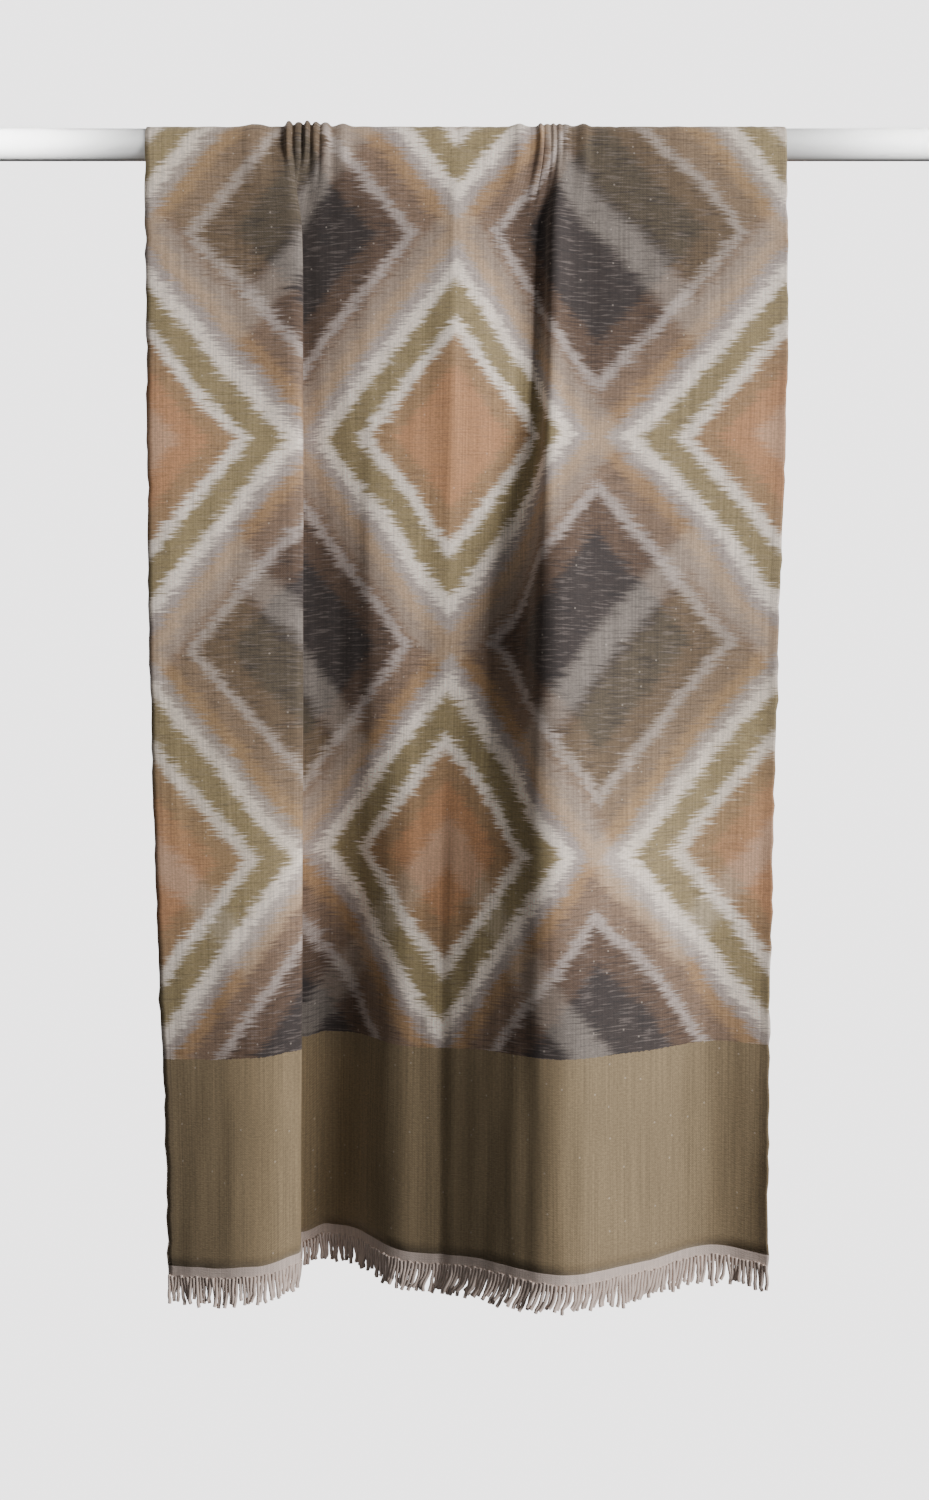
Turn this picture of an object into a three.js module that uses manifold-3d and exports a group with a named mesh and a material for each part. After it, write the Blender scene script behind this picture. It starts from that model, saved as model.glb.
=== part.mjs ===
import * as THREE from 'three';
import Module from 'manifold-3d';

// All sizes are in millimetres. X runs to the right, -Y is the front and +Z is up.
// The origin is on the rod's axis, at its middle.
const ROD_DIAMETER = 30;
const ROD_LENGTH = 1000;
const ROD_EDGE_ROUND = 1.5;
const SEAM_GAP = 0.3;
const CLOTH_WALL = 1.2;
const CLOTH_WIDTH = 700;
const FRONT_DROP = 1060;
const BACK_DROP = 889;
const TIP_WALL = 1.5;
const STRIP_HEIGHT = 15;
const STRAND_LENGTH = 19;
const STRAND_THICKNESS = 1.2;
const STRAND_BITE = 2;
const FRONT_STRANDS = 117;
const BACK_STRANDS = 88;

// The cloth's middle surface passes this far from the rod's axis.
const SADDLE_RADIUS = ROD_DIAMETER / 2 + SEAM_GAP + CLOTH_WALL / 2 + 0.3;
const SADDLE_STEPS = 8;
const LEFT_EDGE_TOP = -309;

// Small gathers over the rod: place across the flat width, length taken, steepest angle.
const GATHERS = [
  { at: 106, length: 34, angle: 14 },
  { at: 143.5, length: 17.6, angle: 86 },
  { at: 161.1, length: 17.6, angle: 88 },
  { at: 178.7, length: 17.6, angle: 88 },
  { at: 196.3, length: 17.6, angle: 88 },
  { at: 213.9, length: 17.6, angle: 84 },
  { at: 236, length: 20, angle: 30 },
  { at: 409, length: 20, angle: 32 },
  { at: 433.2, length: 12.4, angle: 86 },
  { at: 445.6, length: 12.4, angle: 88 },
  { at: 458, length: 12.4, angle: 88 },
  { at: 470.4, length: 12.4, angle: 88 },
  { at: 482.8, length: 12.4, angle: 84 },
  { at: 503, length: 20, angle: 30 },
];

// How fast the gathers fade into the folds under the rod; more is faster.
const GATHER_FADE = [
  { u: 0, power: 1 },
  { u: 128, power: 1 },
  { u: 139, power: 9 },
  { u: 180, power: 9 },
  { u: 204, power: 1.8 },
  { u: 432, power: 1.2 },
  { u: 446, power: 3 },
  { u: 476, power: 3 },
  { u: 492, power: 1.2 },
  { u: 700, power: 1 },
];

// Front folds. Each row is a place u across the flat width, with the cloth's heading in
// degrees (positive turns toward the front) at five depths below the rod's axis.
const FRONT_DEPTHS = [90, 200, 440, 680, 1060];
const FRONT_FOLDS = [
  { u: 0, heading: [0, 3, 5, 9, 24] },
  { u: 78, heading: [0, 2, 1, 6, 15] },
  { u: 110, heading: [6, 6, 0, 0, -8] },
  { u: 125, heading: [14, 10, -2, -9, -26] },
  { u: 137, heading: [-4, -8, -14, -18, -40] },
  { u: 145, heading: [-32, -34, -36, -38, -56] },
  { u: 150, heading: [-92, -92, -90, -88, -92] },
  { u: 155, heading: [-162, -160, -150, -146, -140] },
  { u: 166, heading: [-164, -162, -154, -150, -148] },
  { u: 172, heading: [-92, -92, -98, -102, -108] },
  { u: 178, heading: [-20, -22, -34, -38, -46] },
  { u: 191, heading: [8, 8, 8, 5, 2] },
  { u: 204, heading: [12, 14, 12, 9, 14] },
  { u: 220, heading: [10, 14, 20, 17, 26] },
  { u: 235, heading: [8, 12, 27, 26, 38] },
  { u: 250, heading: [6, 8, 26, 34, 48] },
  { u: 262, heading: [5, 6, 18, 38, 54] },
  { u: 285, heading: [4, 5, 2, 34, 52] },
  { u: 300, heading: [4, 6, -2, 24, 38] },
  { u: 312, heading: [5, 7, -1, 16, 24] },
  { u: 322, heading: [6, 8, 2, 12, 18] },
  { u: 344, heading: [9, 14, 12, 14, 20] },
  { u: 352, heading: [-5, -10, 0, 34, 44] },
  { u: 362, heading: [-6, -10, 2, 26, 34] },
  { u: 391, heading: [-8, -12, 2, 22, 31] },
  { u: 406, heading: [-10, -14, 16, 26, 33] },
  { u: 420, heading: [-12, -16, 40, 32, 34] },
  { u: 440, heading: [-8, -16, 70, 42, 31] },
  { u: 455, heading: [48, 58, 78, 44, 26] },
  { u: 463, heading: [88, 92, 62, 34, 22] },
  { u: 471, heading: [40, 40, 28, 18, 16] },
  { u: 479, heading: [-28, -26, 2, 2, 7] },
  { u: 489, heading: [-30, -22, -16, -14, -4] },
  { u: 502, heading: [-4, -6, -22, -26, -14] },
  { u: 518, heading: [0, -4, -23, -32, -25] },
  { u: 547, heading: [0, 0, -16, -30, -33] },
  { u: 587, heading: [0, 0, -10, -24, -29] },
  { u: 626, heading: [0, 2, -4, -11, -12] },
  { u: 665, heading: [0, 2, 0, 0, 12] },
  { u: 700, heading: [0, 3, 4, 8, 24] },
];
// Where the front's left edge stands forward of the saddle, at the same depths.
const FRONT_LEAN = [2, 2, 4, 2, -2];
// Where points of the front stand across, in x, at the same depths.
const FRONT_PINS = [
  { u: 0, x: [-308, -307, -305, -299, -287] },
  { u: 115, x: [-189, -189, -193, -187, -184] },
  { u: 152, x: [-156, -156, -156, -157, -159] },
  { u: 235, x: [-119, -118, -113, -115, -116] },
  { u: 350, x: [-8, -9, -14, -18, -20] },
  { u: 466, x: [81, 79, 71, 69, 70] },
  { u: 531, x: [139, 138, 128, 127, 125] },
  { u: 585, x: [197, 196, 183, 178, 174] },
  { u: 700, x: [313, 312, 299, 290, 279] },
];
// How far below the rod's axis the front's hem hangs, across the flat width.
const FRONT_HEM = [
  { u: 0, z: 1090 },
  { u: 50, z: 1087 },
  { u: 100, z: 1082 },
  { u: 140, z: 1075 },
  { u: 190, z: 1064 },
  { u: 215, z: 1054 },
  { u: 250, z: 1052 },
  { u: 325, z: 1060 },
  { u: 400, z: 1054 },
  { u: 500, z: 1056 },
  { u: 575, z: 1055 },
  { u: 650, z: 1047 },
  { u: 700, z: 1051 },
];

// Back folds, like the front's; positive headings turn toward the back.
const BACK_DEPTHS = [90, 300, 600, 889];
const BACK_FOLDS = [
  { u: 0, heading: [0, 4, 8, 10] },
  { u: 90, heading: [8, 8, 10, 12] },
  { u: 128, heading: [34, 26, 12, 6] },
  { u: 140, heading: [-10, -20, -22, -26] },
  { u: 150, heading: [-80, -110, -120, -130] },
  { u: 163, heading: [-80, -110, -120, -130] },
  { u: 182, heading: [4, 4, 4, 4] },
  { u: 204, heading: [22, 18, 14, 10] },
  { u: 262, heading: [6, 12, 20, 24] },
  { u: 322, heading: [2, 8, 12, 14] },
  { u: 350, heading: [-2, -2, 0, 2] },
  { u: 400, heading: [-10, -16, -18, -20] },
  { u: 436, heading: [-14, -22, -24, -24] },
  { u: 456, heading: [66, 60, 46, 36] },
  { u: 470, heading: [70, 60, 44, 32] },
  { u: 482, heading: [-22, -10, 0, 4] },
  { u: 502, heading: [-16, -18, -20, -22] },
  { u: 560, heading: [-2, -10, -16, -20] },
  { u: 626, heading: [0, -2, -4, -6] },
  { u: 700, heading: [2, 6, 10, 12] },
];
const BACK_LEAN = [2, 6, 10, 14];
const BACK_PINS = [
  { u: 0, x: [-308, -305, -298, -292] },
  { u: 350, x: [-10, -12, -14, -16] },
  { u: 700, x: [313, 304, 292, 284] },
];
const BACK_HEM = [
  { u: 0, z: 889 },
  { u: 150, z: 884 },
  { u: 350, z: 889 },
  { u: 500, z: 884 },
  { u: 700, z: 889 },
];

// How far the strands sweep to the left at their tips, across the flat width.
const FRONT_SWEEP = [
  { u: 0, x: 1 },
  { u: 140, x: -1 },
  { u: 230, x: 2 },
  { u: 340, x: -7 },
  { u: 430, x: -9 },
  { u: 520, x: -4 },
  { u: 620, x: -2 },
  { u: 700, x: 1 },
];
const BACK_SWEEP = [
  { u: 0, x: 0 },
  { u: 350, x: -2 },
  { u: 700, x: 1 },
];

// Places across the flat width where the cloth has a line of corners.
const FOLD_COLUMNS = [
  0, 40, 78, 100, 112, 125, 131, 137, 142, 146, 150, 153, 157, 161, 166, 169, 173, 178, 184, 191,
  204, 220, 235, 250, 262, 284, 300, 312, 324, 335, 344, 352, 362, 376, 391, 406, 420, 432, 440,
  448, 455, 460, 465, 471, 479, 484, 489, 502, 518, 532, 547, 574, 600, 626, 664, 700,
];
const GATHER_STEPS = 6;
const FRONT_ROWS = [10, 23, 34, 43, 54, 70];
const FRONT_FALL_ROWS = [95, 140, 200, 280, 360, 440, 520, 600, 680, 800, 930, FRONT_DROP];
const BACK_ROWS = [12, 32, 50, 70];
const BACK_FALL_ROWS = [95, 190, 340, 520, 700, BACK_DROP];

const SAMPLE = 0.5;
const SAMPLES = Math.round(CLOTH_WIDTH / SAMPLE) + 1;

function alongTable(rows, key, u) {
  let i = 1;
  while (i < rows.length - 1 && rows[i].u < u) i += 1;
  const a = rows[i - 1];
  const b = rows[i];
  const t = Math.min(1, Math.max(0, (u - a.u) / (b.u - a.u)));
  return key(a) + (key(b) - key(a)) * t;
}

function smoothAlong(rows, key, u) {
  let i = 1;
  while (i < rows.length - 1 && rows[i].u < u) i += 1;
  const a = rows[i - 1];
  const b = rows[i];
  const t = Math.min(1, Math.max(0, (u - a.u) / (b.u - a.u)));
  const s = t * t * (3 - 2 * t);
  return key(a) + (key(b) - key(a)) * s;
}

// Cubic through the values at rising places, flat at both ends and without overshoot.
function smoothThrough(places, values, at) {
  const n = places.length;
  const t = Math.min(places[n - 1], Math.max(places[0], at));
  let i = 0;
  while (i < n - 2 && places[i + 1] < t) i += 1;
  const slope = (k) => (values[k + 1] - values[k]) / (places[k + 1] - places[k]);
  const tangent = (k) => {
    if (k === 0 || k === n - 1) return 0;
    const p = slope(k - 1);
    const q = slope(k);
    return p * q <= 0 ? 0 : (2 * p * q) / (p + q);
  };
  const h = places[i + 1] - places[i];
  const s = (t - places[i]) / h;
  return (1 + 2 * s) * (1 - s) ** 2 * values[i]
    + s * (1 - s) ** 2 * h * tangent(i)
    + s * s * (3 - 2 * s) * values[i + 1]
    + s * s * (s - 1) * h * tangent(i + 1);
}

// A cut across the cloth: walks the flat width with the given headings and returns, for each
// sample, how far across (x) and how far out from the saddle (h) the cloth stands.
function walk(headingAt, startX, startH) {
  const x = [startX];
  const h = [startH];
  for (let k = 1; k < SAMPLES; k += 1) {
    const a = THREE.MathUtils.degToRad(headingAt((k - 0.5) * SAMPLE));
    x.push(x[k - 1] + Math.cos(a) * SAMPLE);
    h.push(h[k - 1] + Math.sin(a) * SAMPLE);
  }
  return { x, h };
}

function pinned(section, pins, column) {
  const off = pins.map((p) => ({ u: p.u, d: p.x[column] - section.x[Math.round(p.u / SAMPLE)] }));
  section.x = section.x.map((x, k) => x + smoothAlong(off, (p) => p.d, k * SAMPLE));
  return section;
}

function gatherHeading(u) {
  let a = 0;
  for (const g of GATHERS) {
    const s = (u - g.at) / g.length;
    if (Math.abs(s) < 0.5) a -= g.angle * Math.sin(2 * Math.PI * s);
  }
  return a;
}

const gathered = walk(gatherHeading, LEFT_EDGE_TOP, 0);

// The same cut with each gather drawn out straight, so that gathers can fade on their own.
const drawnOut = gathered.x.map((x, k) => {
  const u = k * SAMPLE;
  const g = GATHERS.find((row) => Math.abs(u - row.at) < row.length / 2);
  if (!g) return x;
  const a = Math.floor((g.at - g.length / 2) / SAMPLE);
  const b = Math.ceil((g.at + g.length / 2) / SAMPLE);
  return gathered.x[a] + ((gathered.x[b] - gathered.x[a]) * (k - a)) / (b - a);
});

function makeFall(depths, folds, lean, pins, hem, drop) {
  const cuts = depths.map((_, c) => pinned(
    walk((u) => alongTable(folds, (f) => f.heading[c], u), pins[0].x[c], lean[c]),
    pins,
    c,
  ));
  const neck = depths[0];
  return (u, v) => {
    const k = Math.min(SAMPLES - 1, Math.max(0, u / SAMPLE));
    const k0 = Math.min(SAMPLES - 2, Math.floor(k));
    const f = k - k0;
    const read = (list) => list[k0] + (list[k0 + 1] - list[k0]) * f;
    const x = smoothThrough(depths, cuts.map((c) => read(c.x)), v);
    const h = smoothThrough(depths, cuts.map((c) => read(c.h)), v);
    const t = Math.min(1, Math.max(0, (v - 4) / (neck - 4)));
    const w = t * t * (3 - 2 * t);
    const z = v * (1 + (smoothAlong(hem, (p) => p.z, u) / drop - 1) * Math.min(1, v / drop));
    const g = (1 - w) ** alongTable(GATHER_FADE, (p) => p.power, u);
    return {
      x: read(drawnOut) * (1 - w) + x * w + (read(gathered.x) - read(drawnOut)) * g,
      h: read(gathered.h) * g + h * w,
      z: -z,
    };
  };
}

const frontFall = makeFall(FRONT_DEPTHS, FRONT_FOLDS, FRONT_LEAN, FRONT_PINS, FRONT_HEM, FRONT_DROP);
const backFall = makeFall(BACK_DEPTHS, BACK_FOLDS, BACK_LEAN, BACK_PINS, BACK_HEM, BACK_DROP);
const ARC = Math.PI * SADDLE_RADIUS;

// Point of the cloth's middle surface. s is the way along the cloth: below 0 down the front,
// from 0 to ARC over the rod and above ARC down the back.
function clothPoint(u, s) {
  if (s < 0) {
    const p = frontFall(u, -s);
    return new THREE.Vector3(p.x, -(SADDLE_RADIUS + p.h), p.z);
  }
  if (s > ARC) {
    const p = backFall(u, s - ARC);
    return new THREE.Vector3(p.x, SADDLE_RADIUS + p.h, p.z);
  }
  const k = Math.min(SAMPLES - 2, Math.floor(u / SAMPLE));
  const f = u / SAMPLE - k;
  const x = gathered.x[k] + (gathered.x[k + 1] - gathered.x[k]) * f;
  const h = gathered.h[k] + (gathered.h[k + 1] - gathered.h[k]) * f;
  const a = (s / ARC) * Math.PI;
  return new THREE.Vector3(x, -(SADDLE_RADIUS + h) * Math.cos(a), (SADDLE_RADIUS + h) * Math.sin(a));
}

// The outward side of the cloth: away from the rod.
function clothNormal(u, s) {
  const du = 2;
  const ds = 1.5;
  const a = clothPoint(Math.min(CLOTH_WIDTH, u + du), s).sub(clothPoint(Math.max(0, u - du), s));
  const b = clothPoint(u, s + ds).sub(clothPoint(u, s - ds));
  return a.cross(b).normalize();
}

function gatherColumns() {
  const list = [...FOLD_COLUMNS];
  for (const g of GATHERS) {
    const steps = g.angle > 40 ? GATHER_STEPS : 4;
    for (let i = 0; i <= steps; i += 1) list.push(g.at - g.length / 2 + (g.length * i) / steps);
  }
  list.sort((p, q) => p - q);
  const kept = [];
  for (const u of list) {
    const fixed = FOLD_COLUMNS.includes(u);
    const last = kept[kept.length - 1];
    if (kept.length === 0 || u - last > 2) {
      kept.push(u);
    } else if (fixed && !FOLD_COLUMNS.includes(last)) {
      kept[kept.length - 1] = u;
    }
  }
  return kept;
}

// A closed wall on the middle surface from rows that may have fewer columns than their
// neighbours, where the fewer are also among the more.
function wallGeometry(rows, thickness) {
  const outer = [];
  const inner = [];
  const points = [];
  for (const row of rows) {
    const o = [];
    const n = [];
    for (const u of row.columns) {
      const p = clothPoint(u, row.s);
      const m = clothNormal(u, row.s).multiplyScalar(thickness / 2);
      o.push(points.push(p.clone().add(m)) - 1);
      n.push(points.push(p.clone().sub(m)) - 1);
    }
    outer.push(o);
    inner.push(n);
  }
  const faces = [];
  const quad = (a, b, c, d) => {
    faces.push([a, b, c], [a, c, d]);
  };
  for (let r = 0; r + 1 < rows.length; r += 1) {
    let i = 0;
    let j = 0;
    const lo = rows[r].columns;
    const hi = rows[r + 1].columns;
    while (i + 1 < lo.length || j + 1 < hi.length) {
      const nextLo = i + 1 < lo.length ? lo[i + 1] : Infinity;
      const nextHi = j + 1 < hi.length ? hi[j + 1] : Infinity;
      if (nextLo === nextHi) {
        quad(outer[r][i], outer[r][i + 1], outer[r + 1][j + 1], outer[r + 1][j]);
        quad(inner[r][i], inner[r + 1][j], inner[r + 1][j + 1], inner[r][i + 1]);
        i += 1;
        j += 1;
      } else if (nextLo < nextHi) {
        faces.push([outer[r][i], outer[r][i + 1], outer[r + 1][j]]);
        faces.push([inner[r][i], inner[r + 1][j], inner[r][i + 1]]);
        i += 1;
      } else {
        faces.push([outer[r][i], outer[r + 1][j + 1], outer[r + 1][j]]);
        faces.push([inner[r][i], inner[r + 1][j], inner[r + 1][j + 1]]);
        j += 1;
      }
    }
  }
  for (let r = 0; r + 1 < rows.length; r += 1) {
    const a = rows[r].columns.length - 1;
    const b = rows[r + 1].columns.length - 1;
    quad(outer[r][0], outer[r + 1][0], inner[r + 1][0], inner[r][0]);
    quad(outer[r][a], inner[r][a], inner[r + 1][b], outer[r + 1][b]);
  }
  const z = rows.length - 1;
  for (let i = 0; i + 1 < rows[0].columns.length; i += 1) {
    quad(outer[0][i], inner[0][i], inner[0][i + 1], outer[0][i + 1]);
  }
  for (let i = 0; i + 1 < rows[z].columns.length; i += 1) {
    quad(outer[z][i], outer[z][i + 1], inner[z][i + 1], inner[z][i]);
  }
  return { points, faces };
}

function toGeometry(shape) {
  const geometry = new THREE.BufferGeometry();
  const flat = new Float32Array(shape.points.length * 3);
  shape.points.forEach((p, i) => p.toArray(flat, i * 3));
  geometry.setAttribute('position', new THREE.BufferAttribute(flat, 3));
  geometry.setIndex(shape.faces.flat());
  geometry.computeVertexNormals();
  return geometry;
}

const wasm = await Module();
wasm.setup();

function toManifold(shape) {
  const vertProperties = new Float32Array(shape.points.length * 3);
  shape.points.forEach((p, i) => p.toArray(vertProperties, i * 3));
  const triVerts = new Uint32Array(shape.faces.flat());
  return new wasm.Manifold(new wasm.Mesh({ numProp: 3, vertProperties, triVerts }));
}

function fromManifold(solid) {
  const mesh = solid.getMesh();
  const geometry = new THREE.BufferGeometry();
  geometry.setAttribute('position', new THREE.BufferAttribute(new Float32Array(mesh.vertProperties), 3));
  geometry.setIndex(Array.from(mesh.triVerts));
  geometry.computeVertexNormals();
  return geometry;
}

function clothRows() {
  const fine = gatherColumns();
  const coarse = FOLD_COLUMNS;
  const rows = [];
  for (const v of [...FRONT_FALL_ROWS].reverse()) rows.push({ s: -v, columns: coarse });
  for (const v of [...FRONT_ROWS].reverse()) rows.push({ s: -v, columns: fine });
  for (let i = 0; i <= SADDLE_STEPS; i += 1) rows.push({ s: (ARC * i) / SADDLE_STEPS, columns: fine });
  for (const v of BACK_ROWS) rows.push({ s: ARC + v, columns: fine });
  for (const v of BACK_FALL_ROWS) rows.push({ s: ARC + v, columns: coarse });
  return rows;
}

// Point on the wall's flat facets between its lines of corners.
function facetPoint(u, s) {
  let i = 1;
  while (i < FOLD_COLUMNS.length - 1 && FOLD_COLUMNS[i] < u) i += 1;
  const a = FOLD_COLUMNS[i - 1];
  const b = FOLD_COLUMNS[i];
  return clothPoint(a, s).lerp(clothPoint(b, s), (u - a) / (b - a));
}

// One fringe: a narrow woven strip under the hem, with strands fused into its lower edge.
function fringe(side, strands, sweepTable) {
  const drop = side < 0 ? FRONT_DROP : ARC + BACK_DROP;
  const from = side * (drop + SEAM_GAP);
  const to = side * (drop + SEAM_GAP + STRIP_HEIGHT);
  const rows = [{ s: Math.min(from, to), columns: FOLD_COLUMNS }, { s: Math.max(from, to), columns: FOLD_COLUMNS }];
  const parts = [toManifold(wallGeometry(rows, TIP_WALL))];
  const step = (CLOTH_WIDTH - 4) / (strands - 1);
  const r = STRAND_THICKNESS / Math.sqrt(3);
  for (let i = 0; i < strands; i += 1) {
    const u = 2 + i * step;
    const root = facetPoint(u, to - side * STRAND_BITE);
    const edge = facetPoint(u, to);
    const across = facetPoint(Math.min(CLOTH_WIDTH, u + 1), to).sub(facetPoint(Math.max(0, u - 1), to));
    across.z = 0;
    across.normalize();
    const out = new THREE.Vector3(across.y, -across.x, 0);
    const sweep = alongTable(sweepTable, (p) => p.x, u);
    const wave = 0.9 * Math.sin(u * 0.31) + 0.6 * Math.sin(u * 0.113 + 1);
    const length = STRAND_LENGTH + 1.6 * Math.sin(u * 0.047 + 0.5) + 0.9 * Math.sin(u * 0.71);
    const mid = edge.clone().add(new THREE.Vector3(0, 0, -length * 0.5)).addScaledVector(across, sweep * 0.3 + wave * 0.4);
    const fall = Math.sqrt(Math.max(30, length * length * 0.25 - sweep * sweep * 0.3));
    const tip = mid.clone().add(new THREE.Vector3(0, 0, -fall)).addScaledVector(across, sweep * 0.7 + wave * 0.6);
    const points = [];
    for (const c of [root, mid]) {
      for (let q = 0; q < 3; q += 1) {
        const a = (q / 3) * 2 * Math.PI + 0.4;
        points.push(c.clone()
          .addScaledVector(across, Math.cos(a) * r)
          .addScaledVector(out, Math.sin(a) * r));
      }
    }
    points.push(tip);
    const faces = [[0, 2, 1]];
    for (let q = 0; q < 3; q += 1) {
      const b = (q + 1) % 3;
      faces.push([q, b, b + 3], [q, b + 3, q + 3], [q + 3, b + 3, 6]);
    }
    parts.push(orient({ points, faces }));
  }
  return fromManifold(wasm.Manifold.union(parts));
}

function orient(shape) {
  let volume = 0;
  for (const [a, b, c] of shape.faces) {
    volume += shape.points[a].dot(shape.points[b].clone().cross(shape.points[c]));
  }
  if (volume < 0) shape.faces = shape.faces.map(([a, b, c]) => [a, c, b]);
  return toManifold(shape);
}

function rodGeometry() {
  const r = ROD_DIAMETER / 2;
  const e = ROD_EDGE_ROUND;
  const half = ROD_LENGTH / 2;
  const outline = [
    new THREE.Vector2(0, -half),
    new THREE.Vector2(r - e, -half),
    new THREE.Vector2(r, -half + e),
    new THREE.Vector2(r, half - e),
    new THREE.Vector2(r - e, half),
    new THREE.Vector2(0, half),
  ];
  const geometry = new THREE.LatheGeometry(outline, 32);
  geometry.rotateZ(-Math.PI / 2);
  return geometry;
}

function piece(name, geometry, colour, roughness) {
  const material = new THREE.MeshStandardMaterial({ color: colour, roughness, metalness: 0 });
  const mesh = new THREE.Mesh(geometry, material);
  mesh.name = name;
  return mesh;
}

const group = new THREE.Group();
group.name = 'pashmina_shawl_on_rod';
group.add(piece('rod', rodGeometry(), '#F1F1F0', 0.35));
group.add(piece('shawl', toGeometry(wallGeometry(clothRows(), CLOTH_WALL)), '#8A7A6C', 0.85));
group.add(piece('front_fringe', fringe(-1, FRONT_STRANDS, FRONT_SWEEP), '#B5A6A0', 0.85));
group.add(piece('back_fringe', fringe(1, BACK_STRANDS, BACK_SWEEP), '#B5A6A0', 0.85));

export default group;
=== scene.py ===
import math

import bmesh
import bpy
import numpy as np
from bpy.props import FloatProperty, IntProperty, PointerProperty, StringProperty
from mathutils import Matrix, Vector


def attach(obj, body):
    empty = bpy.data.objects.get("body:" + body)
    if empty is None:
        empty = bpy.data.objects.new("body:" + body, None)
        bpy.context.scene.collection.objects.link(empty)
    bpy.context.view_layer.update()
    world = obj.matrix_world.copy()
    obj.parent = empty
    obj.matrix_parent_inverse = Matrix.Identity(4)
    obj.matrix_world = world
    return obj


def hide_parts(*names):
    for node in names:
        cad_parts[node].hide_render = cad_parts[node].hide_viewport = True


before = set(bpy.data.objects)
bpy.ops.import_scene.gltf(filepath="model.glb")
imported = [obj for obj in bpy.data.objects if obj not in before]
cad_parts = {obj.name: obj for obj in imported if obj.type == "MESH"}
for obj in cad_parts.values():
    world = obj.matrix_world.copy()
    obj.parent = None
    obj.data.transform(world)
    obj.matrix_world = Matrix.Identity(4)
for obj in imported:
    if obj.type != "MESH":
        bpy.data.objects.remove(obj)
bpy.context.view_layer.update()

bl_info = {
    "name": "Pashmina shawl on a rod",
    "version": (1, 0, 0),
    "blender": (4, 5, 0),
    "location": "3D View > Sidebar > Shawl",
    "description": "Builds a draped wool shawl with lozenges, its fringes, its rod and a plain studio",
    "category": "Add Mesh",
}

# Sizes of the drape, in millimetres, as in the part's source.
ROD_RADIUS = 15.0
ROD_HALF = 500.0
CLOTH_WIDTH = 700.0
FRONT_DROP = 1060.0
BACK_DROP = 889.0
SADDLE_RADIUS = 16.2
ARC = math.pi * SADDLE_RADIUS
SEAM_GAP = 0.3
STRIP_HEIGHT = 15.0
LEFT_EDGE_TOP = -309.0
SAMPLE = 0.5
UNIT = 0.001
# How far a woven strip starts inside the cloth, and how far a strand starts inside the strip.
STRIP_LAP = 2.5
STRAND_LAP = 6.5
ROD_SIDES = 96
# Drawn pitch of the threads.
THREAD_PITCH = 1.6
# The pictured frame: its height and the row of the rod in pixels, pixels to the millimetre at the
# rod, and how far the camera stands from the rod in metres.
FRAME_HEIGHT = 1500
ROD_ROW = 145
PIXELS_PER_MM = 1.023
CAMERA_REACH = 1.5

# place across, length taken, steepest angle
GATHERS = [
    (106, 34, 14),
    (143.5, 17.6, 86),
    (161.1, 17.6, 88),
    (178.7, 17.6, 88),
    (196.3, 17.6, 88),
    (213.9, 17.6, 84),
    (236, 20, 30),
    (409, 20, 32),
    (433.2, 12.4, 86),
    (445.6, 12.4, 88),
    (458, 12.4, 88),
    (470.4, 12.4, 88),
    (482.8, 12.4, 84),
    (503, 20, 30),
]
# place across, how fast the gathers fade
GATHER_FADE = [
    (0, 1),
    (128, 1),
    (139, 9),
    (180, 9),
    (204, 1.8),
    (432, 1.2),
    (446, 3),
    (476, 3),
    (492, 1.2),
    (700, 1),
]
FRONT_DEPTHS = [90, 200, 440, 680, 1060]
# place across, then the heading in degrees at each depth
FRONT_FOLDS = [
    (0, 0, 3, 5, 9, 24),
    (78, 0, 2, 1, 6, 15),
    (110, 6, 6, 0, 0, -8),
    (125, 14, 10, -2, -9, -26),
    (137, -4, -8, -14, -18, -40),
    (145, -32, -34, -36, -38, -56),
    (150, -92, -92, -90, -88, -92),
    (155, -162, -160, -150, -146, -140),
    (166, -164, -162, -154, -150, -148),
    (172, -92, -92, -98, -102, -108),
    (178, -20, -22, -34, -38, -46),
    (191, 8, 8, 8, 5, 2),
    (204, 12, 14, 12, 9, 14),
    (220, 10, 14, 20, 17, 26),
    (235, 8, 12, 27, 26, 38),
    (250, 6, 8, 26, 34, 48),
    (262, 5, 6, 18, 38, 54),
    (285, 4, 5, 2, 34, 52),
    (300, 4, 6, -2, 24, 38),
    (312, 5, 7, -1, 16, 24),
    (322, 6, 8, 2, 12, 18),
    (344, 9, 14, 12, 14, 20),
    (352, -5, -10, 0, 34, 44),
    (362, -6, -10, 2, 26, 34),
    (391, -8, -12, 2, 22, 31),
    (406, -10, -14, 16, 26, 33),
    (420, -12, -16, 40, 32, 34),
    (440, -8, -16, 70, 42, 31),
    (455, 48, 58, 78, 44, 26),
    (463, 88, 92, 62, 34, 22),
    (471, 40, 40, 28, 18, 16),
    (479, -28, -26, 2, 2, 7),
    (489, -30, -22, -16, -14, -4),
    (502, -4, -6, -22, -26, -14),
    (518, 0, -4, -23, -32, -25),
    (547, 0, 0, -16, -30, -33),
    (587, 0, 0, -10, -24, -29),
    (626, 0, 2, -4, -11, -12),
    (665, 0, 2, 0, 0, 12),
    (700, 0, 3, 4, 8, 24),
]
FRONT_LEAN = [2, 2, 4, 2, -2]
# place across, then x at each depth
FRONT_PINS = [
    (0, -308, -307, -305, -299, -287),
    (115, -189, -189, -193, -187, -184),
    (152, -156, -156, -156, -157, -159),
    (235, -119, -118, -113, -115, -116),
    (350, -8, -9, -14, -18, -20),
    (466, 81, 79, 71, 69, 70),
    (531, 139, 138, 128, 127, 125),
    (585, 197, 196, 183, 178, 174),
    (700, 313, 312, 299, 290, 279),
]
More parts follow.
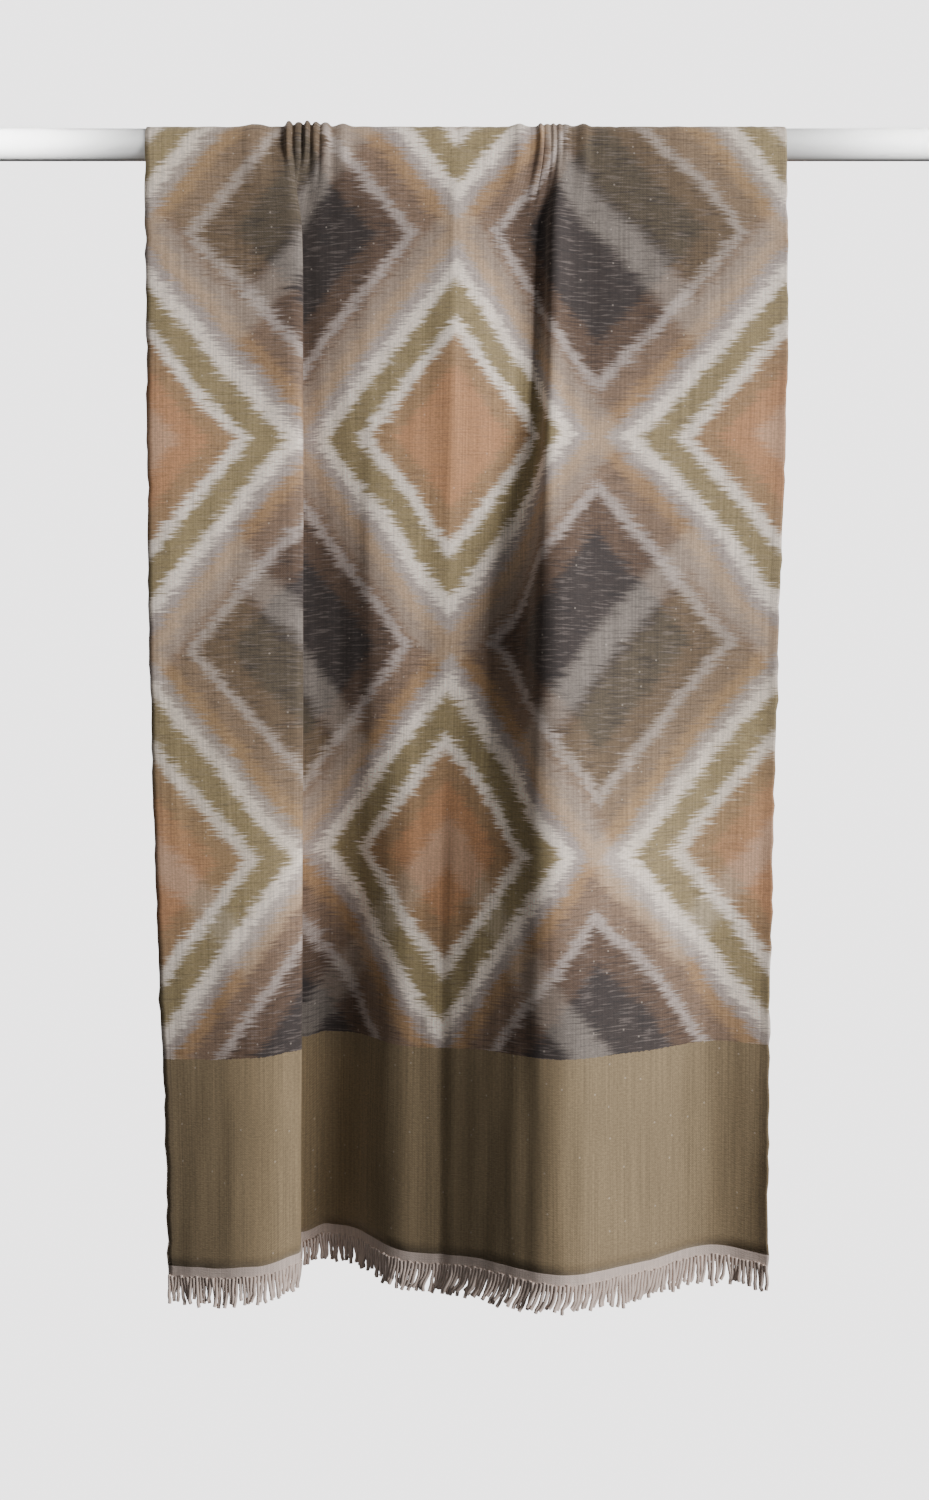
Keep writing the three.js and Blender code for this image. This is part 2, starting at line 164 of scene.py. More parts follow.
# place across, depth of the hem
FRONT_HEM = [
    (0, 1090),
    (50, 1087),
    (100, 1082),
    (140, 1075),
    (190, 1064),
    (215, 1054),
    (250, 1052),
    (325, 1060),
    (400, 1054),
    (500, 1056),
    (575, 1055),
    (650, 1047),
    (700, 1051),
]
BACK_DEPTHS = [90, 300, 600, 889]
BACK_FOLDS = [
    (0, 0, 4, 8, 10),
    (90, 8, 8, 10, 12),
    (128, 34, 26, 12, 6),
    (140, -10, -20, -22, -26),
    (150, -80, -110, -120, -130),
    (163, -80, -110, -120, -130),
    (182, 4, 4, 4, 4),
    (204, 22, 18, 14, 10),
    (262, 6, 12, 20, 24),
    (322, 2, 8, 12, 14),
    (350, -2, -2, 0, 2),
    (400, -10, -16, -18, -20),
    (436, -14, -22, -24, -24),
    (456, 66, 60, 46, 36),
    (470, 70, 60, 44, 32),
    (482, -22, -10, 0, 4),
    (502, -16, -18, -20, -22),
    (560, -2, -10, -16, -20),
    (626, 0, -2, -4, -6),
    (700, 2, 6, 10, 12),
]
BACK_LEAN = [2, 6, 10, 14]
BACK_PINS = [
    (0, -308, -305, -298, -292),
    (350, -10, -12, -14, -16),
    (700, 313, 304, 292, 284),
]
BACK_HEM = [
    (0, 889),
    (150, 884),
    (350, 889),
    (500, 884),
    (700, 889),
]
# place across, how far the tips sweep in x
FRONT_SWEEP = [
    (0, 1),
    (140, -1),
    (230, 2),
    (340, -7),
    (430, -9),
    (520, -4),
    (620, -2),
    (700, 1),
]
BACK_SWEEP = [
    (0, 0),
    (350, -2),
    (700, 1),
]


def straight(rows, column, at):
    """Value of a table's column at each place, along straight lines."""
    return np.interp(at, [r[0] for r in rows], [r[column] for r in rows])


def eased(rows, column, at):
    """The same with soft corners at each row."""
    places = np.array([r[0] for r in rows], float)
    values = np.array([r[column] for r in rows], float)
    i = np.clip(np.searchsorted(places, at, side="right") - 1, 0, len(places) - 2)
    t = np.clip((at - places[i]) / (places[i + 1] - places[i]), 0, 1)
    return values[i] + (values[i + 1] - values[i]) * t * t * (3 - 2 * t)


def through(places, cuts, at):
    """Cubic through whole cuts at rising depths, flat at both ends and without overshoot."""
    t = min(max(at, places[0]), places[-1])
    i = 0
    while i < len(places) - 2 and places[i + 1] < t:
        i += 1

    def slope(k):
        return (cuts[k + 1] - cuts[k]) / (places[k + 1] - places[k])

    def tangent(k):
        if k in (0, len(places) - 1):
            return np.zeros_like(cuts[0])
        p = slope(k - 1)
        q = slope(k)
        total = np.where(p + q == 0, 1, p + q)
        return np.where(p * q <= 0, 0, 2 * p * q / total)

    span = places[i + 1] - places[i]
    s = (t - places[i]) / span
    return (
        (1 + 2 * s) * (1 - s) ** 2 * cuts[i]
        + s * (1 - s) ** 2 * span * tangent(i)
        + s * s * (3 - 2 * s) * cuts[i + 1]
        + s * s * (s - 1) * span * tangent(i + 1)
    )


class Fall:
    """One side of the drape: cuts across the cloth at a few depths, joined down its length."""

    steps = np.arange(int(CLOTH_WIDTH / SAMPLE) + 1) * SAMPLE

    def __init__(self, depths, folds, lean, pins, hem, drop):
        self.depths = depths
        self.drop = drop
        self.x = []
        self.h = []
        middle = self.steps[:-1] + SAMPLE / 2
        for c in range(len(depths)):
            a = np.radians(straight(folds, c + 1, middle))
            x = pins[0][c + 1] + np.concatenate([[0], np.cumsum(np.cos(a)) * SAMPLE])
            h = lean[c] + np.concatenate([[0], np.cumsum(np.sin(a)) * SAMPLE])
            off = [(p[0], p[c + 1] - x[int(round(p[0] / SAMPLE))]) for p in pins]
            self.x.append(x + eased(off, 1, self.steps))
            self.h.append(h)
        self.stretch = eased(hem, 1, self.steps) / drop
        self.fade = straight(GATHER_FADE, 1, self.steps)

    def at(self, v):
        t = min(1, max(0, (v - 4) / (self.depths[0] - 4)))
        w = t * t * (3 - 2 * t)
        g = (1 - w) ** self.fade
        x = DRAWN_OUT * (1 - w) + through(self.depths, self.x, v) * w + (GATHERED[0] - DRAWN_OUT) * g
        h = GATHERED[1] * g + through(self.depths, self.h, v) * w
        z = v * (1 + (self.stretch - 1) * min(1, v / self.drop))
        return x, h, -z


def gathered_cut():
    """The cut over the rod, and the same with each gather drawn out straight."""
    steps = Fall.steps
    middle = steps[:-1] + SAMPLE / 2
    a = np.zeros_like(middle)
    for at, length, angle in GATHERS:
        s = (middle - at) / length
        a -= np.where(np.abs(s) < 0.5, angle * np.sin(2 * math.pi * s), 0)
    a = np.radians(a)
    x = LEFT_EDGE_TOP + np.concatenate([[0], np.cumsum(np.cos(a)) * SAMPLE])
    h = np.concatenate([[0], np.cumsum(np.sin(a)) * SAMPLE])
    drawn = x.copy()
    for at, length, _ in GATHERS:
        i = int(math.floor((at - length / 2) / SAMPLE))
        j = int(math.ceil((at + length / 2) / SAMPLE))
        drawn[i : j + 1] = np.linspace(x[i], x[j], j - i + 1)
    return (x, h), drawn


GATHERED, DRAWN_OUT = gathered_cut()
FRONT = Fall(FRONT_DEPTHS, FRONT_FOLDS, FRONT_LEAN, FRONT_PINS, FRONT_HEM, FRONT_DROP)
BACK = Fall(BACK_DEPTHS, BACK_FOLDS, BACK_LEAN, BACK_PINS, BACK_HEM, BACK_DROP)


def cloth_row(s, columns):
    """Points across the cloth at the way s along it: front below 0, over the rod to ARC, then back."""
    if 0 <= s <= ARC:
        x, h = GATHERED
        a = s / SADDLE_RADIUS
        points = np.stack([x, -(SADDLE_RADIUS + h) * math.cos(a), (SADDLE_RADIUS + h) * math.sin(a)], 1)
    else:
        x, h, z = FRONT.at(-s) if s < 0 else BACK.at(s - ARC)
        side = -1 if s < 0 else 1
        points = np.stack([x, side * (SADDLE_RADIUS + h), z], 1)
    return np.stack([np.interp(columns, Fall.steps, points[:, k]) for k in range(3)], 1)


def cloth_grid(ways, columns):
    return np.stack([cloth_row(s, columns) for s in ways])


def grid_normals(grid):
    across = np.gradient(grid, axis=1)
    along = np.gradient(grid, axis=0)
    n = np.cross(across, along)
    return n / np.maximum(np.linalg.norm(n, axis=2, keepdims=True), 1e-9)


def soft_noise(u, s, seed, u_size, s_size):
    """Slow wandering value from -1 to 1, made of a few long waves."""
    rng = np.random.default_rng(seed)
    total = np.zeros(np.broadcast(u, s).shape)
    for _ in range(7):
        fu = rng.normal(0, 1) / u_size
        fs = rng.normal(0, 1) / s_size
        total += np.sin(2 * math.pi * (u * fu + s * fs) + rng.uniform(0, 2 * math.pi))
    return total / 3.5


# Soft grooves that fan out below the gathers: place at the rod, sideways drift per millimetre of
# fall, depth, reach
GROOVES = [
    (136, -0.05, 1.0, 70),
    (152, 0.00, 1.9, 120),
    (170, 0.03, 1.3, 85),
    (188, 0.09, 1.4, 75),
    (206, 0.16, 1.1, 60),
    (228, 0.22, 0.8, 55),
    (424, -0.20, 0.8, 50),
    (440, -0.08, 1.2, 70),
    (453, -0.03, 1.4, 80),
    (466, 0.03, 1.5, 90),
    (478, 0.09, 1.3, 70),
    (494, 0.18, 0.8, 55),
]
# Sharp lines pressed into the cloth when it lay folded: place, then height at the rod, at half way
# and at the hem
PRESS_LINES = [
    (174, 0.3, 0.3, 0.3),
    (348, 1.1, 0.5, -0.6),
    (526, -0.3, 0.3, 0.3),
]
# Where the shown sheet stands off the solid: the valley below the second gathers and the right
# selvedge towards the front hem.
VALLEY_AT = 441
VALLEY_LIFT = 5.0
CURL_FROM = 630
CURL_LIFT = 6.0


def settle(grid, ways, columns, ripple):
    """Adds what the solid leaves out: soft unevenness, grooves below the gathers, press lines and
    the slightly wavy selvedges. All lie along the cloth's normals and fade over the rod."""
    u = columns[None, :]
    s = np.asarray(ways)[:, None]
    depth = np.maximum(-s, s - ARC)
    away = np.clip(depth / 60, 0, 1)
    lift = ripple / UNIT * away * (soft_noise(u, s, 3, 80, 560) + 0.3 * soft_noise(u, s, 8, 45, 300))
    for place, drift, deep, reach in GROOVES:
        side = (u - place - drift * depth) / (5 + 0.05 * np.maximum(depth, 0))
        start = np.clip((depth - 12) / 45, 0, 1)
        lift = lift - deep * start * np.exp(-side * side) * np.exp(-((depth / reach) ** 2))
    for place, top, middle, low in PRESS_LINES:
        height = np.interp(depth, [0, 480, FRONT_DROP], [top, middle, low])
        lift = lift + np.clip(depth / 20, 0, 1) * height * np.maximum(0, 1 - np.abs(u - place) / 9)
    # The valley beside the second gathers is shallower in the cloth than in the solid.
    front = np.clip(-s / 50, 0, 1) * np.exp(-((np.maximum(-s, 0) / 420) ** 4))
    lift = lift + VALLEY_LIFT * front * np.exp(-(((u - VALLEY_AT) / 14) ** 2))
    # The right selvedge curls a little forward towards the front hem.
    curl = np.clip((u - CURL_FROM) / (CLOTH_WIDTH - CURL_FROM), 0, 1) ** 1.3
    curl = curl * np.clip((-s - 300) / 500, 0, 1)
    lift = lift + CURL_LIFT * curl
    lift = lift + (1 - away) * 0.35 * soft_noise(u, s, 12, 24, 200)
    edge = np.exp(-np.minimum(u, CLOTH_WIDTH - u) / 9)
    lift = lift + away * edge * 0.5 * soft_noise(u, s, 33, 90, 46)
    moved = grid + grid_normals(grid) * lift[..., None]
    outward = np.where(u > CLOTH_WIDTH / 2, 1, -1)
    moved[..., 0] += outward * edge * away * 1.1 * soft_noise(u, s, 40, 200, 36)
    return moved


def relax(grid, columns, reach):
    """Rounds the cut across the cloth over a short reach, as woven wool can't bend sharply."""
    weights = np.exp(-(((columns[None, :] - columns[:, None]) / reach) ** 2))
    weights *= np.gradient(columns)[None, :]
    soft = np.einsum("ij,rjk->rik", weights / weights.sum(1, keepdims=True), grid)
    keep = np.clip(np.minimum(columns, CLOTH_WIDTH - columns) / 12, 0, 1)[None, :, None]
    return grid + (soft - grid) * keep


def dense_columns():
    """Places across the cloth: close together in the gathers and folds, wider in the flat panels."""
    places = [0.0]
    while places[-1] < CLOTH_WIDTH:
        u = places[-1]
        tight = 132 <= u <= 226 or 424 <= u <= 492
        middle = 98 <= u <= 262 or 335 <= u <= 361 or 398 <= u <= 516
        places.append(u + (1.5 if tight else 3.0 if middle else 6.0))
    places[-1] = CLOTH_WIDTH
    return np.array(places)


# How far the cut is rounded: near the rod, further down, and in the slack gathers.
ROUND_AT_ROD = 3.4
ROUND_BELOW = 2.0
ROUND_SLACK = 8.0
# Gathers that lie slacker than their neighbours: place across the cloth, reach, share of rounding
SLACK = [
    (163, 9, 0.8),
    (196, 8, 0.5),
    (214, 8, 0.85),
    (446, 7, 0.75),
    (470, 6, 0.45),
    (483, 7, 0.85),
]


def shown_grid(ways, columns, ripple):
    """The shown sheet: softer than the solid in its gathers and as crisp as it further down."""
    grid = cloth_grid(ways, columns)
    depth = np.maximum(-np.asarray(ways), np.asarray(ways) - ARC)
    near_rod = np.clip(1.6 - depth / 90, 0, 1)[:, None, None]
    slack = sum(share * np.exp(-(((columns - place) / reach) ** 2)) for place, reach, share in SLACK)
    slack = np.clip(slack, 0, 1)[None, :, None]
    gathers = relax(grid, columns, ROUND_AT_ROD) * (1 - slack)
    gathers = gathers + relax(grid, columns, ROUND_SLACK) * slack
    soft = gathers * near_rod + relax(grid, columns, ROUND_BELOW) * (1 - near_rod)
    return settle(soft, ways, columns, ripple)


def dense_ways():
    front = np.concatenate([np.linspace(-FRONT_DROP, -112, 86), np.linspace(-108, -4, 27)])
    over = np.linspace(0, ARC, 15)
    back = np.concatenate([np.linspace(4, 108, 21), np.linspace(114, BACK_DROP, 50)]) + ARC
    return np.concatenate([front, over, back])


def new_object(name, mesh):
    piece = bpy.data.objects.new(name, mesh)
    bpy.context.collection.objects.link(piece)
    return piece


def grid_mesh(name, grid, ways, columns):
    """Quads on the grid, with a map in metres of flat cloth: across, and up from the front hem."""
    rows, cols = grid.shape[:2]
    index = np.arange(rows * cols).reshape(rows, cols)
    quads = np.stack([index[:-1, :-1], index[:-1, 1:], index[1:, 1:], index[1:, :-1]], -1).reshape(-1, 4)
    mesh = bpy.data.meshes.new(name)
    mesh.from_pydata((grid.reshape(-1, 3) * UNIT).tolist(), [], quads.tolist())
    flat = np.stack(np.meshgrid(columns, np.asarray(ways) + FRONT_DROP), -1).reshape(-1, 2) * UNIT
    layer = mesh.uv_layers.new(name="cloth")
    corners = np.empty(len(mesh.loops), int)
    mesh.loops.foreach_get("vertex_index", corners)
    layer.data.foreach_set("uv", flat[corners].ravel())
    mesh.polygons.foreach_set("use_smooth", np.ones(len(mesh.polygons), bool))
    mesh.update()
    return mesh


def thicken(piece, wall):
    """Gives a sheet its thickness evenly to both sides and bakes it into the mesh."""
    solid = piece.modifiers.new("Wall", "SOLIDIFY")
    solid.thickness = wall * UNIT
    solid.offset = 0
    solid.use_rim = True
    bake(piece)


def bake(piece):
    """Replaces the piece's mesh by what its modifiers make and removes them."""
    graph = bpy.context.evaluated_depsgraph_get()
    done = bpy.data.meshes.new_from_object(piece.evaluated_get(graph), depsgraph=graph)
    piece.modifiers.clear()
    piece.data = done


def linear(code):
    """sRGB hex colour as linear RGBA."""
    parts = [int(code[i : i + 2], 16) / 255 for i in (1, 3, 5)]
    return [p / 12.92 if p <= 0.04045 else ((p + 0.055) / 1.055) ** 2.4 for p in parts] + [1.0]


def add(tree, kind, settings=None, **links):
    """Adds one node: settings are attributes, links are values or output sockets by input name."""
    made = tree.nodes.new(kind)
    for key, value in (settings or {}).items():
        setattr(made, key, value)
    for key, value in links.items():
        name = key[1:] if key.startswith("_") else key.replace("_", " ")
        socket = made.inputs[int(name)] if name.isdigit() else made.inputs[name]
        if isinstance(value, bpy.types.NodeSocket):
            tree.links.new(value, socket)
        else:
            socket.default_value = value
    return made


def maths(tree, operation, *values):
    links = {f"_{i}": v for i, v in enumerate(values)}
    return add(tree, "ShaderNodeMath", {"operation": operation}, **links).outputs[0]


def ramp(tree, factor, stops):
    """Colour ramp with stops of (place, colour)."""
    made = add(tree, "ShaderNodeValToRGB", None, Fac=factor)
    band = made.color_ramp
    band.interpolation = "LINEAR"
    while len(band.elements) < len(stops):
        band.elements.new(0.5)
    for element, (place, colour) in zip(band.elements, stops):
        element.position = place
        element.color = colour
    return made.outputs["Color"]


def mixed(tree, factor, first, second, blend="MIX"):
    made = add(tree, "ShaderNodeMix", {"data_type": "RGBA", "blend_type": blend})
    for name, value in (("Factor_Float", factor), ("A_Color", first), ("B_Color", second)):
        socket = next(s for s in made.inputs if s.identifier == name)
        if isinstance(value, bpy.types.NodeSocket):
            tree.links.new(value, socket)
        else:
            socket.default_value = value
    return next(s for s in made.outputs if s.identifier == "Result_Color")


def grey(value):
    return [value, value, value, 1.0]


def noise(tree, u, t, u_scale, t_scale, detail=2.0):
    """Noise on the flat cloth with its own scale across and along, in cells per metre."""
    spot = add(
        tree,
        "ShaderNodeCombineXYZ",
        None,
        X=maths(tree, "MULTIPLY", u, u_scale),
        Y=maths(tree, "MULTIPLY", t, t_scale),
    )
    made = add(
        tree,
        "ShaderNodeTexNoise",
        {"noise_dimensions": "2D"},
        Vector=spot.outputs[0],
        Scale=1.0,
        Detail=detail,
    )
    return made.outputs[0]


def new_material(name):
    material = bpy.data.materials.new(name)
    material.use_nodes = True
    tree = material.node_tree
    tree.nodes.clear()
    return material, tree


def finish_material(tree, colour, roughness, normal=None, sheen=0.0, sheen_tint=None):
    shader = add(tree, "ShaderNodeBsdfPrincipled", None, Roughness=roughness)
    if isinstance(colour, bpy.types.NodeSocket):
        tree.links.new(colour, shader.inputs["Base Color"])
    else:
        shader.inputs["Base Color"].default_value = colour
    shader.inputs["Sheen Weight"].default_value = sheen
    shader.inputs["Sheen Roughness"].default_value = 0.45
    if sheen_tint:
        shader.inputs["Sheen Tint"].default_value = sheen_tint
    if normal is not None:
        tree.links.new(normal, shader.inputs["Normal"])
    add(tree, "ShaderNodeOutputMaterial", None, Surface=shader.outputs[0])
    return shader


def cloth_places(tree):
    spot = add(tree, "ShaderNodeUVMap", {"uv_map": "cloth"})
    parts = add(tree, "ShaderNodeSeparateXYZ", None, Vector=spot.outputs[0])
    return parts.outputs[0], parts.outputs[1]


def weave_bump(tree, u, t, relief):
    """Plain wool weave. Real threads are taken to lie 0.4 mm apart, and are drawn wider so that
    they show."""
    turns = 2 * math.pi / (THREAD_PITCH * UNIT)
    across = maths(tree, "SINE", maths(tree, "MULTIPLY", u, turns))
    along = maths(tree, "SINE", maths(tree, "MULTIPLY", t, turns))
    threads = maths(tree, "MULTIPLY", across, along)
    slubs = noise(tree, u, t, 60.0, 900.0, 3.0)
    height = maths(tree, "ADD", maths(tree, "MULTIPLY", threads, 0.35), slubs)
    return add(tree, "ShaderNodeBump", None, Strength=relief, Distance=0.0006, Height=height).outputs[0]


def shawl_material(c):
    """Fine wool, dyed in the yarn before weaving and softly napped: matt, with a pale bloom at the
    edges of folds, feathered colour borders, weft slubs and fine warp streaks."""
    material, tree = new_material("napped_wool_lozenge_weave")
    u, t = cloth_places(tree)
    dark, taupe, tan = linear(c.charcoal), linear(c.taupe), linear(c.tan)
    salmon, olive, cream = linear(c.salmon), linear(c.olive), linear(c.cream)
    lilac, brown = linear(c.lilac), linear(c.brown)
    half_u = c.lozenge_width_mm * UNIT / 2
    half_t = c.lozenge_height_mm * UNIT / 2
    drift = maths(tree, "SUBTRACT", noise(tree, u, t, 9.0, 7.0, 1.0), 0.5)
    rings = [
        (0.00, salmon),
        (0.160, salmon),
        (0.185, tan),
        (0.240, tan),
        (0.257, cream),
        (0.283, cream),
        (0.300, olive),
        (0.375, olive),
        (0.392, cream),
        (0.425, cream),
        (0.440, lilac),
        (0.465, lilac),
        (0.485, tan),
        (0.515, tan),
        (0.540, taupe),
        (0.600, taupe),
        (0.615, lilac),
        (0.635, lilac),
        (0.655, brown),
        (0.720, brown),
        (0.745, dark),
        (1.00, dark),
    ]
    bands = [
        (0.00, grey(0.0)),
        (0.265, grey(0.0)),
        (0.29, grey(1.0)),
        (0.335, grey(1.0)),
        (0.36, grey(0.0)),
        (0.60, grey(0.0)),
        (0.62, grey(0.8)),
        (0.68, grey(0.8)),
        (0.70, grey(0.0)),
        (1.00, grey(0.0)),
    ]
    veil = [(0.0, grey(1.0)), (0.25, grey(1.0)), (0.28, grey(0.0)), (1.0, grey(0.0))]

    def lozenges(comb, across_shift, along_shift):
        """The whole design, read with the weft yarns shifted by one comb of noise."""
        teeth = maths(tree, "SUBTRACT", comb, 0.5)
        across = maths(tree, "ADD", u, maths(tree, "MULTIPLY", teeth, across_shift))
        across = maths(tree, "ADD", across, maths(tree, "MULTIPLY", drift, 0.016))
        along = maths(tree, "ADD", t, maths(tree, "MULTIPLY", drift, along_shift))

        def lattice(shift_u, shift_t, width, height):
            """0 at one set of lozenge centres, 1 at the centres of the set between them."""
            x = maths(tree, "PINGPONG", maths(tree, "SUBTRACT", across, shift_u), width)
            y = maths(tree, "PINGPONG", maths(tree, "SUBTRACT", along, shift_t), height)
            both = maths(tree, "ADD", maths(tree, "DIVIDE", x, width), maths(tree, "DIVIDE", y, height))
            return maths(tree, "DIVIDE", both, 2.0)

        colour = ramp(tree, lattice(0.0, 0.37, half_u, half_t), rings)
        # A second, wider set of lozenges crosses the first and lets it show through.
        second = lattice(half_u * 0.5, 0.37 + half_t * 0.5, half_u * 1.5, half_t * 1.5)
        crossing = ramp(tree, second, bands)
        colour = mixed(tree, maths(tree, "MULTIPLY", crossing, 0.20), colour, cream)
        return mixed(tree, maths(tree, "MULTIPLY", ramp(tree, second, veil), 0.20), colour, olive)

    # Dyed yarns shift a little in the loom. Two combs, fine and coarse, share each border, so that
    # it breaks into soft wisps that run across.
    fine = lozenges(noise(tree, u, t, 26.0, 760.0, 2.0), c.feather_mm * UNIT * 2.6, 0.016)
    coarse = lozenges(noise(tree, u, t, 17.0, 330.0, 2.0), c.feather_mm * UNIT * 1.5, 0.010)
    share = noise(tree, u, t, 30.0, 500.0, 2.0)
    colour = mixed(tree, ramp(tree, share, [(0.38, grey(0.0)), (0.62, grey(1.0))]), fine, coarse)
    # Weft slubs: dark and pale dashes that run across, strongest where the yarn is dark.
    dash = noise(tree, u, t, 34.0, 620.0, 3.0)
    value = add(tree, "ShaderNodeRGBToBW", None, Color=colour).outputs[0]
    darkness = maths(tree, "SUBTRACT", 1.0, maths(tree, "MULTIPLY", value, 2.2))
    darkness = maths(tree, "MAXIMUM", darkness, 0.12)
    low = ramp(tree, dash, [(0.0, grey(1.0)), (0.36, grey(1.0)), (0.44, grey(0.0)), (1.0, grey(0.0))])
    colour = mixed(
        tree, maths(tree, "MULTIPLY", maths(tree, "MULTIPLY", low, darkness), 0.62), colour, linear(c.slub)
    )
    fleck = noise(tree, u, t, 46.0, 560.0, 2.0)
    high = ramp(tree, fleck, [(0.0, grey(0.0)), (0.56, grey(0.0)), (0.68, grey(1.0)), (1.0, grey(1.0))])
    colour = mixed(
        tree, maths(tree, "MULTIPLY", maths(tree, "MULTIPLY", high, darkness), 0.22), colour, lilac
    )
    # Plain end bands, woven in one olive yarn, with a straight start that only the comb softens.
    length = (FRONT_DROP + ARC + BACK_DROP) * UNIT
    teeth = maths(tree, "SUBTRACT", noise(tree, u, t, 420.0, 14.0, 1.0), 0.5)
    edge_way = maths(tree, "ADD", t, maths(tree, "MULTIPLY", teeth, 0.0015))
    from_front = maths(tree, "LESS_THAN", edge_way, c.band_mm * UNIT)
    from_back = maths(tree, "GREATER_THAN", edge_way, length - c.band_mm * UNIT)
    in_band = maths(tree, "MAXIMUM", from_front, from_back)
    colour = mixed(tree, in_band, colour, linear(c.band))
    # Fine warp streaks and slow changes of tone.
    streak = noise(tree, u, t, 620.0, 8.0, 3.0)
    streaks = ramp(tree, streak, [(0.30, grey(0.84)), (0.70, grey(1.14))])
    colour = mixed(tree, 1.0, colour, streaks, "MULTIPLY")
    grain = noise(tree, u, t, 300.0, 640.0, 2.0)
    grains = ramp(tree, grain, [(0.30, grey(0.86)), (0.70, grey(1.12))])
    colour = mixed(tree, 1.0, colour, grains, "MULTIPLY")
    tone = noise(tree, u, t, 14.0, 10.0, 3.0)
    tones = ramp(tree, tone, [(0.2, grey(0.92)), (0.8, grey(1.08))])
    colour = mixed(tree, 1.0, colour, tones, "MULTIPLY")
    # Pale neps, a few to the hand's breadth.
    spot = add(tree, "ShaderNodeCombineXYZ", None, X=u, Y=t)
    cells = add(
        tree,
        "ShaderNodeTexVoronoi",
        {"voronoi_dimensions": "2D"},
        Vector=spot.outputs[0],
        Scale=60.0,
    )
    near = maths(tree, "LESS_THAN", cells.outputs["Distance"], 0.055)
    pick = add(tree, "ShaderNodeSeparateColor", None, Color=cells.outputs["Color"])
    rare = maths(tree, "LESS_THAN", pick.outputs[0], 0.22)
    nep = maths(tree, "MULTIPLY", maths(tree, "MULTIPLY", near, rare), 0.20)
    colour = mixed(tree, nep, colour, cream)
    # Selvedge: a denser 9 mm edge, a little darker.
    rim = maths(tree, "MINIMUM", u, maths(tree, "SUBTRACT", CLOTH_WIDTH * UNIT, u))
    in_rim = maths(tree, "LESS_THAN", rim, 0.009)
    colour = mixed(tree, maths(tree, "MULTIPLY", in_rim, 0.18), colour, linear(c.charcoal))
    finish_material(tree, colour, 0.78, weave_bump(tree, u, t, 0.5), 0.35, linear(c.cream))
    return material


def strip_material(c):
    """The same wool in undyed lilac beige, woven open: matt with fine threads."""
    material, tree = new_material("open_woven_wool_strip")
    u, t = cloth_places(tree)
    streak = noise(tree, u, t, 700.0, 60.0, 2.0)
    pale, deep = linear(c.fringe), [v * 0.80 for v in linear(c.fringe)[:3]] + [1.0]
    colour = ramp(tree, streak, [(0.3, deep), (0.7, pale)])
    finish_material(tree, colour, 0.85, weave_bump(tree, u, t, 0.6), 0.3, linear(c.cream))
    return material


def strand_material(c):
    """Loose twisted ends of the same yarn: matt and a little uneven along each strand."""
    material, tree = new_material("loose_wool_strands")
    spot = add(tree, "ShaderNodeTexCoord")
    cloud = add(tree, "ShaderNodeTexNoise", None, Vector=spot.outputs["Object"], Scale=160.0, Detail=2.0)
    pale, deep = linear(c.fringe), [v * 0.86 for v in linear(c.fringe)[:3]] + [1.0]
    colour = ramp(tree, cloud.outputs[0], [(0.35, deep), (0.62, pale)])
    finish_material(tree, colour, 0.85, None, 0.3, linear(c.cream))
    return material


def rod_material(c):
    """Turned softwood under white satin paint: even, smooth and lightly glossy."""
    material, tree = new_material("white_satin_paint")
    spot = add(tree, "ShaderNodeTexCoord")
    place = add(tree, "ShaderNodeMapping", None, Vector=spot.outputs["Object"], Scale=(6.0, 260.0, 260.0))
    brush = add(tree, "ShaderNodeTexNoise", None, Vector=place.outputs[0], Scale=1.0, Detail=3.0)
    white = linear(c.rod)
    colour = ramp(tree, brush.outputs[0], [(0.3, [v * 0.985 for v in white[:3]] + [1.0]), (0.7, white)])
    height = add(tree, "ShaderNodeBump", None, Strength=0.08, Distance=0.0004, Height=brush.outputs[0])
    shader = finish_material(tree, colour, 0.38, height.outputs[0])
    shader.inputs["IOR"].default_value = 1.47
    return material


class ShawlSizes(bpy.types.PropertyGroup):
    wall: FloatProperty(
        name="Wall",
        description="Thickness of the shown cloth",
        default=0.0009,
        unit="LENGTH",
        precision=5,
    )
    strands: IntProperty(name="Strands", description="Loose strands at the front hem", default=196, min=2)
    strand_length: FloatProperty(
        name="Strand length",
        description="Length of a loose strand",
        default=0.0195,
        unit="LENGTH",
        precision=4,
    )
    strand_thickness: FloatProperty(
        name="Strand thickness",
        description="Thickness at the root",
        default=0.0036,
        unit="LENGTH",
        precision=5,
    )
    ripple: FloatProperty(
        name="Ripple",
        description="Height of the soft unevenness of the cloth",
        default=0.0006,
        unit="LENGTH",
        precision=5,
    )


